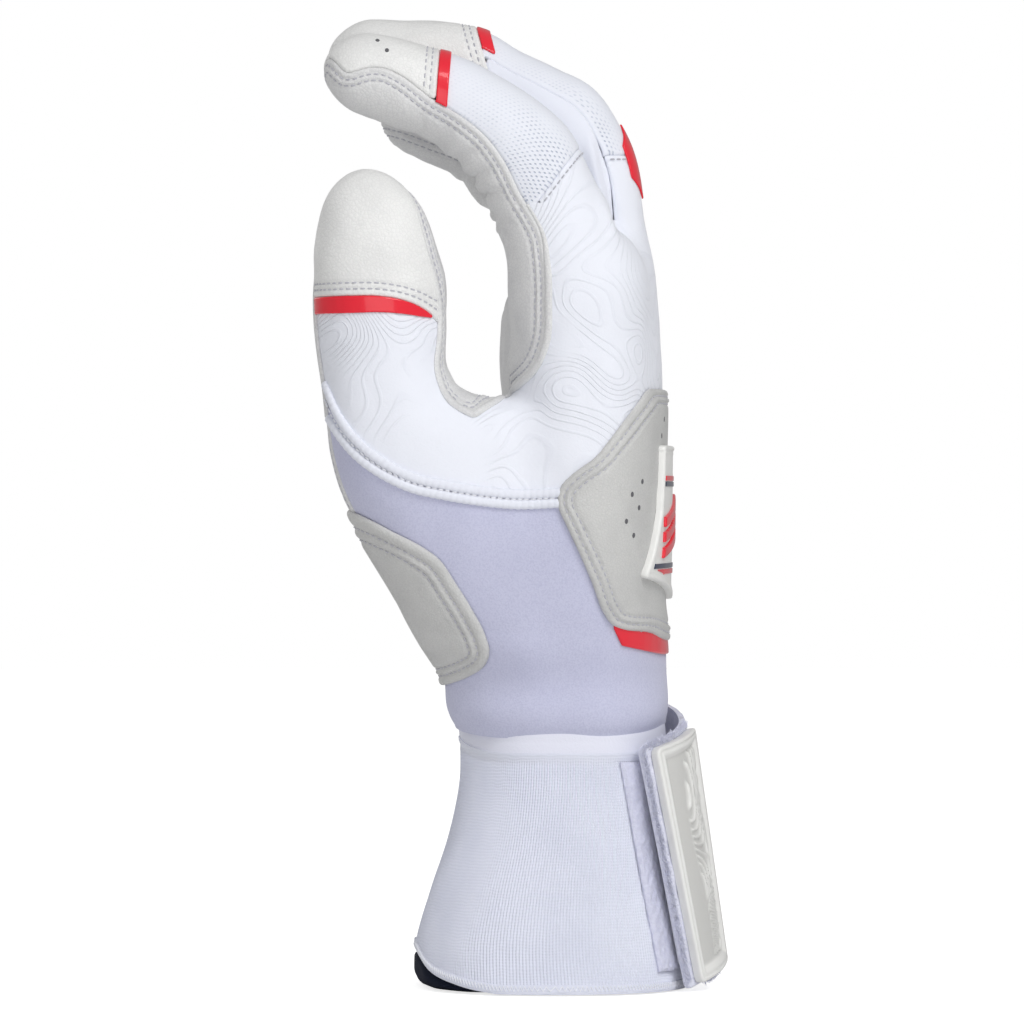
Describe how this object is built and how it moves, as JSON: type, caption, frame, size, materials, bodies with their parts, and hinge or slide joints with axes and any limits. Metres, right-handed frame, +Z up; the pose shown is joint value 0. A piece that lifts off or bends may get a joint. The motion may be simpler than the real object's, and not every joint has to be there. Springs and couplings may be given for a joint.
{
  "type": "batting glove",
  "caption": "Right-hand strapped batting glove with leather palm and fingertips, knit back, moulded badge, ribbed cuff and wrap-round wrist strap, standing as if worn.",
  "frame": {"origin": "middle of the glove's footprint, on the surface that it stands on", "axes": "+Z up, from the cuff to the fingertips; +X towards the back of the hand and -X towards the palm; +Y towards the little finger"},
  "size_m": [0.091, 0.0908, 0.2124],
  "materials": {
    "leather": "soft grained, light grey",
    "tip_leather": "grained, off-white",
    "patch_leather": "fine grain, grey",
    "embossed_knit": "matt with raised relief lines, white",
    "mesh_knit": "open knit, white",
    "stretch_knit": "fine knit, white",
    "neoprene": "brushed, cool white",
    "red_film": "glossy film",
    "badge_rubber": "satin moulded, off-white",
    "ribbed_elastic": "ribbed elastic, cool white",
    "navy_lining": "matt, navy",
    "velour": "brushed pile, cool white",
    "hook_tape": "hook tape, cool white"
  },
  "bodies": {
    "hand": {"palm_leather": "leather", "back_panel": "embossed_knit", "wrist_panel": "neoprene", "heel_patch": "patch_leather", "back_patch": "patch_leather", "wrist_trim": "red_film", "badge": "badge_rubber", "back_seam_welt": "embossed_knit", "crotch_binding": "leather", "cuff_top_band": "stretch_knit", "cuff_elastic": "ribbed_elastic", "cuff_hem": "ribbed_elastic", "cuff_lining": "navy_lining", "loop_pile": "velour", "strap_anchor": "velour"},
    "index": {"index_palm_leather": "leather", "index_knuckle_panel": "embossed_knit", "index_back_mesh": "mesh_knit", "index_tip_cap": "tip_leather", "index_trim": "red_film", "index_gusset_far": "stretch_knit"},
    "middle": {"middle_palm_leather": "leather", "middle_knuckle_panel": "embossed_knit", "middle_back_mesh": "mesh_knit", "middle_tip_cap": "tip_leather", "middle_trim": "red_film", "middle_gusset_near": "stretch_knit", "middle_gusset_far": "stretch_knit", "middle_knuckle_trim": "red_film"},
    "ring": {"ring_palm_leather": "leather", "ring_knuckle_panel": "embossed_knit", "ring_back_mesh": "mesh_knit", "ring_tip_cap": "tip_leather", "ring_trim": "red_film", "ring_gusset_near": "stretch_knit", "ring_gusset_far": "stretch_knit", "ring_knuckle_trim": "red_film"},
    "little": {"little_palm_leather": "leather", "little_knuckle_panel": "embossed_knit", "little_back_mesh": "mesh_knit", "little_tip_cap": "tip_leather", "little_trim": "red_film", "little_gusset_near": "stretch_knit"},
    "thumb": {"thumb_palm_leather": "leather", "thumb_back": "embossed_knit", "thumb_tip_cap": "tip_leather", "thumb_trim": "red_film"},
    "strap": {"strap_root": "velour"},
    "strap_tip": {"strap_end": "velour", "pull_tab": "badge_rubber", "hook_pad": "hook_tape"}
  },
  "joints": [
    {"name": "index_flex", "type": "hinge", "parent": "hand", "child": "index", "pos_m": [0.00743, -0.03006, 0.16501], "axis": [0, -1, 0], "range_deg": [-15, 12]},
    {"name": "middle_flex", "type": "hinge", "parent": "hand", "child": "middle", "pos_m": [0.01473, -0.00906, 0.1624], "axis": [0, -1, 0], "range_deg": [-15, 45]},
    {"name": "ring_flex", "type": "hinge", "parent": "hand", "child": "ring", "pos_m": [0.01303, 0.01194, 0.1598], "axis": [0, -1, 0], "range_deg": [-15, 45]},
    {"name": "little_flex", "type": "hinge", "parent": "hand", "child": "little", "pos_m": [0.00923, 0.03164, 0.15735], "axis": [0, -1, 0], "range_deg": [-15, 45]},
    {"name": "thumb_flex", "type": "hinge", "parent": "hand", "child": "thumb", "pos_m": [-0.02807, -0.03106, 0.1258], "axis": [0, 1, 0], "range_deg": [-18, 8]},
    {"name": "strap_open", "type": "hinge", "parent": "hand", "child": "strap", "pos_m": [0.0316, 0.03, 0.00978], "axis": [-0.0429, -0.0697, 0.9966], "range_deg": [0, 110]},
    {"name": "strap_end_peel", "type": "hinge", "parent": "strap", "child": "strap_tip", "pos_m": [0.04333, -0.00152, 0.00536], "axis": [-0.1365, -0.0119, 0.9906], "range_deg": [0, 70]}
  ]
}
